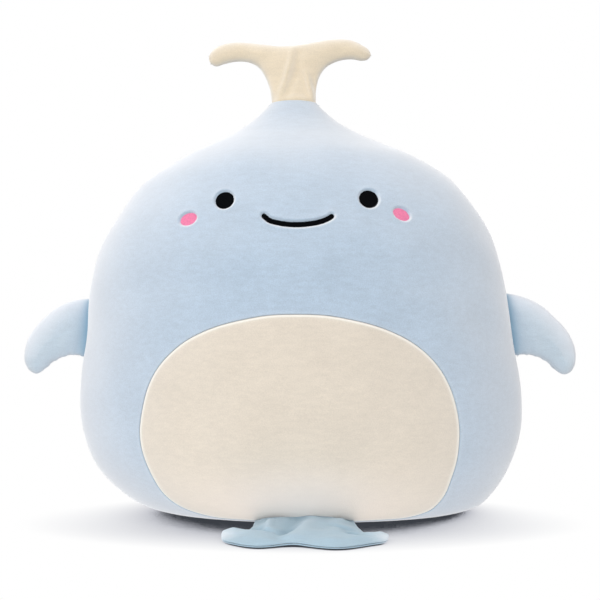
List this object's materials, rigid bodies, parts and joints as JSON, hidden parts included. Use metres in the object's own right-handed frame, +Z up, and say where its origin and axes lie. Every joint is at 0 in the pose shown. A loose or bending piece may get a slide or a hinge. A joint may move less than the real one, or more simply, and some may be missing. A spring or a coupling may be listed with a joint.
{
  "type": "plush whale",
  "caption": "Stuffed toy whale sewn from short-pile plush panels, with embroidered face, swinging side fins, a T-shaped spout and a flat tail fluke lying on the ground.",
  "frame": {"origin": "on the ground, on the flat underside of the base panel, below the middle of the body", "axes": "+Z up; the whale faces -Y; +X is its own left, the right side of the picture"},
  "size_m": [0.4128, 0.3067, 0.3523],
  "materials": {
    "body_plush": "short-pile plush",
    "belly_plush": "short-pile plush",
    "fin_plush": "short-pile plush",
    "spout_plush": "short-pile plush",
    "tail_plush": "short-pile plush",
    "black_thread": "satin stitch",
    "pink_thread": "satin stitch",
    "fibre": "loose fibre"
  },
  "bodies": {
    "body": {"body_front_panel": "body_plush", "belly_panel": "belly_plush", "back_left_panel": "body_plush", "back_right_panel": "body_plush", "base_panel": "body_plush", "body_filling": "fibre", "left_eye": "black_thread", "right_eye": "black_thread", "left_cheek": "pink_thread", "right_cheek": "pink_thread", "mouth": "black_thread"},
    "left_fin": {"left_fin_front_panel": "fin_plush", "left_fin_back_panel": "fin_plush", "left_fin_filling": "fibre"},
    "right_fin": {"right_fin_front_panel": "fin_plush", "right_fin_back_panel": "fin_plush", "right_fin_filling": "fibre"},
    "spout": {"spout_front_panel": "spout_plush", "spout_back_panel": "spout_plush", "spout_filling": "fibre"},
    "tail": {"tail_top_panel": "tail_plush", "tail_under_panel": "tail_plush", "tail_filling": "fibre"}
  },
  "joints": [
    {"name": "left_fin_swing", "type": "hinge", "parent": "body", "child": "left_fin", "pos_m": [0.16164, 0.006, 0.13703], "axis": [-0.1353, 0, 0.9908], "range_deg": [-40, 40], "stiffness_Nm_per_rad": 0.02},
    {"name": "right_fin_swing", "type": "hinge", "parent": "body", "child": "right_fin", "pos_m": [-0.16164, 0.006, 0.13703], "axis": [0.1353, 0, 0.9908], "range_deg": [-40, 40], "stiffness_Nm_per_rad": 0.02},
    {"name": "spout_sway", "type": "hinge", "parent": "body", "child": "spout", "pos_m": [-0.0046, 0.006, 0.30966], "axis": [1, 0, 0], "range_deg": [-30, 30], "stiffness_Nm_per_rad": 0.05},
    {"name": "tail_lift", "type": "hinge", "parent": "body", "child": "tail", "pos_m": [0.003, -0.07771, 0.0039], "axis": [-1, 0, 0], "range_deg": [0, 30], "stiffness_Nm_per_rad": 0.04}
  ]
}
